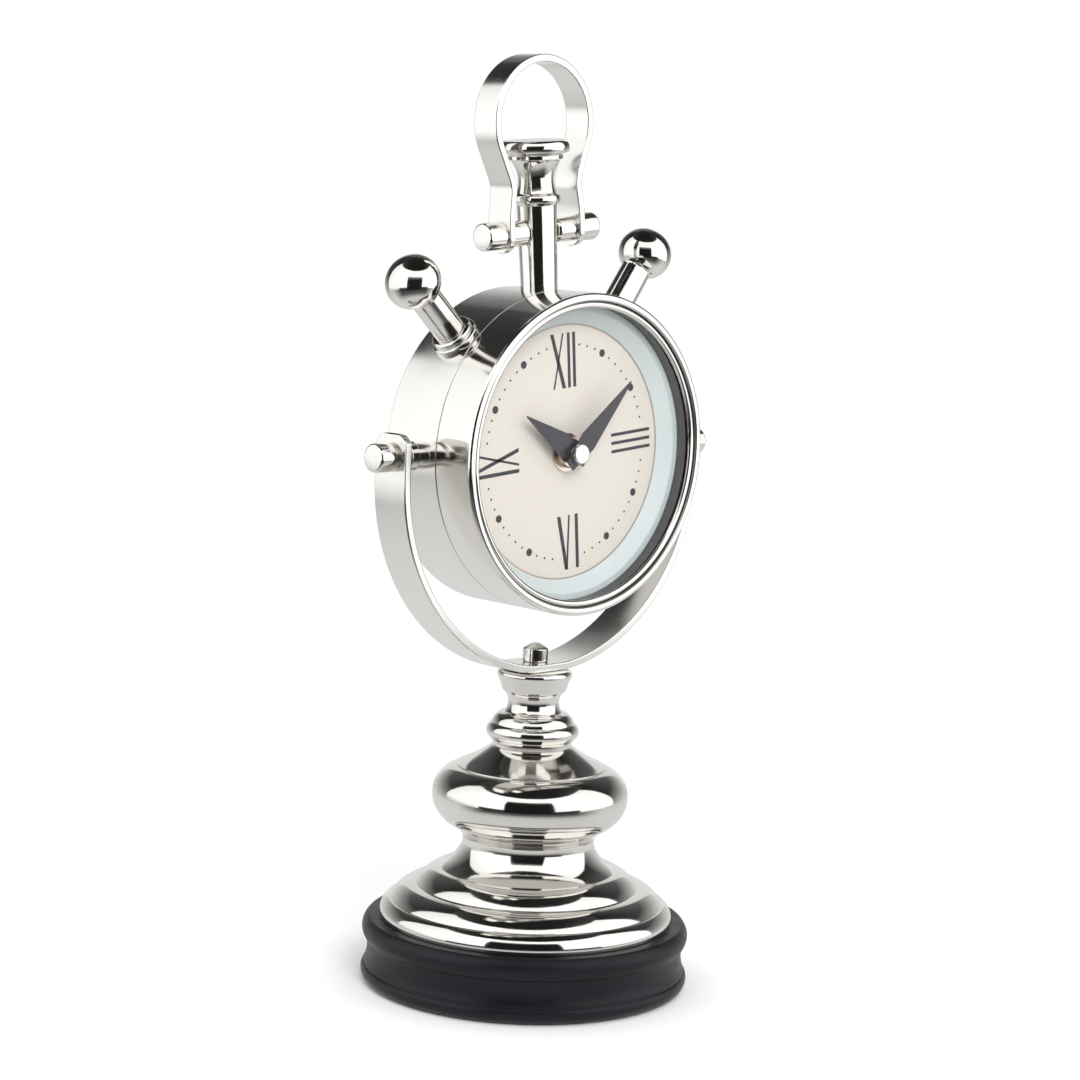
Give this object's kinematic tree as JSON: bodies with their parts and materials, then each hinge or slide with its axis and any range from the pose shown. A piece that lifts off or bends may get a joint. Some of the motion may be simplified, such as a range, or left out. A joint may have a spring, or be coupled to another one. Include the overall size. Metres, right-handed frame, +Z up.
{
  "type": "mantel clock",
  "caption": "Mantel clock: a round glazed case hung in a curved yoke on a turned pedestal and plinth, with a folding carrying bow and quartz hands.",
  "frame": {"origin": "centre of the plinth's resting face, on the felt", "axes": "+Z up, the dial faces -Y, +X to the right of someone facing the dial"},
  "size_m": [0.1686, 0.1252, 0.3516],
  "materials": {
    "polished_nickel": "mirror-polished nickel plate on brass",
    "black_painted_wood": "turned wood, satin black paint",
    "felt": "black felt",
    "plated_steel": "zinc-plated steel",
    "clear_glass": "clear flat glass",
    "printed_dial": "cream enamel paint with dark printing",
    "pale_bevel": "pale silver paint",
    "black_plastic": "moulded black plastic",
    "battery_jacket": "plain wrapped battery jacket",
    "circuit_laminate": "green circuit laminate",
    "copper_wire": "enamelled copper wire",
    "white_plastic": "natural white plastic",
    "dark_hands": "dark gunmetal paint, fine sparkle"
  },
  "bodies": {
    "stand": {"base_plinth": "black_painted_wood", "base_pad": "felt", "pedestal_foot": "polished_nickel", "pedestal_bulb": "polished_nickel", "pedestal_neck": "polished_nickel", "tie_rod": "plated_steel", "tie_washer": "plated_steel", "tie_nut": "plated_steel", "yoke": "polished_nickel", "yoke_clamp_nut": "polished_nickel"},
    "case": {"back_cap": "black_plastic", "back_cover": "polished_nickel", "back_cover_screws": "plated_steel", "battery": "battery_jacket", "battery_contacts": "plated_steel", "bow_pin_left": "polished_nickel", "bow_pin_right": "polished_nickel", "bow_spacer_left": "polished_nickel", "bow_spacer_right": "polished_nickel", "centre_nut": "polished_nickel", "centre_washer": "polished_nickel", "circuit_board": "circuit_laminate", "crown_nut": "plated_steel", "crown_stem": "polished_nickel", "dial": "printed_dial", "dial_snap_ring": "plated_steel", "dial_surround": "pale_bevel", "front_bezel": "polished_nickel", "glass": "clear_glass", "glass_ring": "polished_nickel", "motor_coil": "copper_wire", "motor_stator": "plated_steel", "movement_case": "black_plastic", "movement_cover": "black_plastic", "pivot_nut_left": "plated_steel", "pivot_nut_right": "plated_steel", "pivot_screw_left": "polished_nickel", "pivot_screw_right": "polished_nickel", "pivot_spacer_left": "polished_nickel", "pivot_spacer_right": "polished_nickel", "pivot_washer_left": "polished_nickel", "pivot_washer_right": "polished_nickel", "pusher_collar_left": "polished_nickel", "pusher_collar_right": "polished_nickel", "pusher_left": "polished_nickel", "pusher_nut_left": "plated_steel", "pusher_nut_right": "plated_steel", "pusher_right": "polished_nickel", "rear_can": "polished_nickel"},
    "bow": {"bow": "polished_nickel"},
    "minute": {"minute_arbor": "white_plastic", "minute_hand": "dark_hands", "hand_cap_nut": "polished_nickel"},
    "hour": {"hour_wheel": "white_plastic", "hour_hand": "dark_hands"},
    "setting": {"minute_wheel": "white_plastic", "setting_knob": "white_plastic"}
  },
  "joints": [
    {"name": "case_tilt", "type": "hinge", "parent": "stand", "child": "case", "pos_m": [0, 0, 0.2055], "axis": [1, 0, 0], "range_deg": [-120, 120]},
    {"name": "bow_fold", "type": "hinge", "parent": "case", "child": "bow", "pos_m": [-0.00754, 0, 0.28675], "axis": [0.9957, 0, 0.0924], "range_deg": [-110, 110]},
    {"name": "minute_turn", "type": "hinge", "parent": "case", "child": "minute", "pos_m": [0, 0, 0.2055], "axis": [0, 1, 0], "continuous": true},
    {"name": "hour_turn", "type": "hinge", "parent": "case", "child": "hour", "pos_m": [0, 0, 0.2055], "axis": [0, 1, 0], "continuous": true},
    {"name": "setting_turn", "type": "hinge", "parent": "case", "child": "setting", "pos_m": [-0.00078, 0, 0.21386], "axis": [0, 1, 0], "continuous": true}
  ],
  "couplings": [
    {"joint": "hour_turn", "follows": "minute_turn", "ratio": 0.083333},
    {"joint": "setting_turn", "follows": "minute_turn", "ratio": -0.33333}
  ]
}
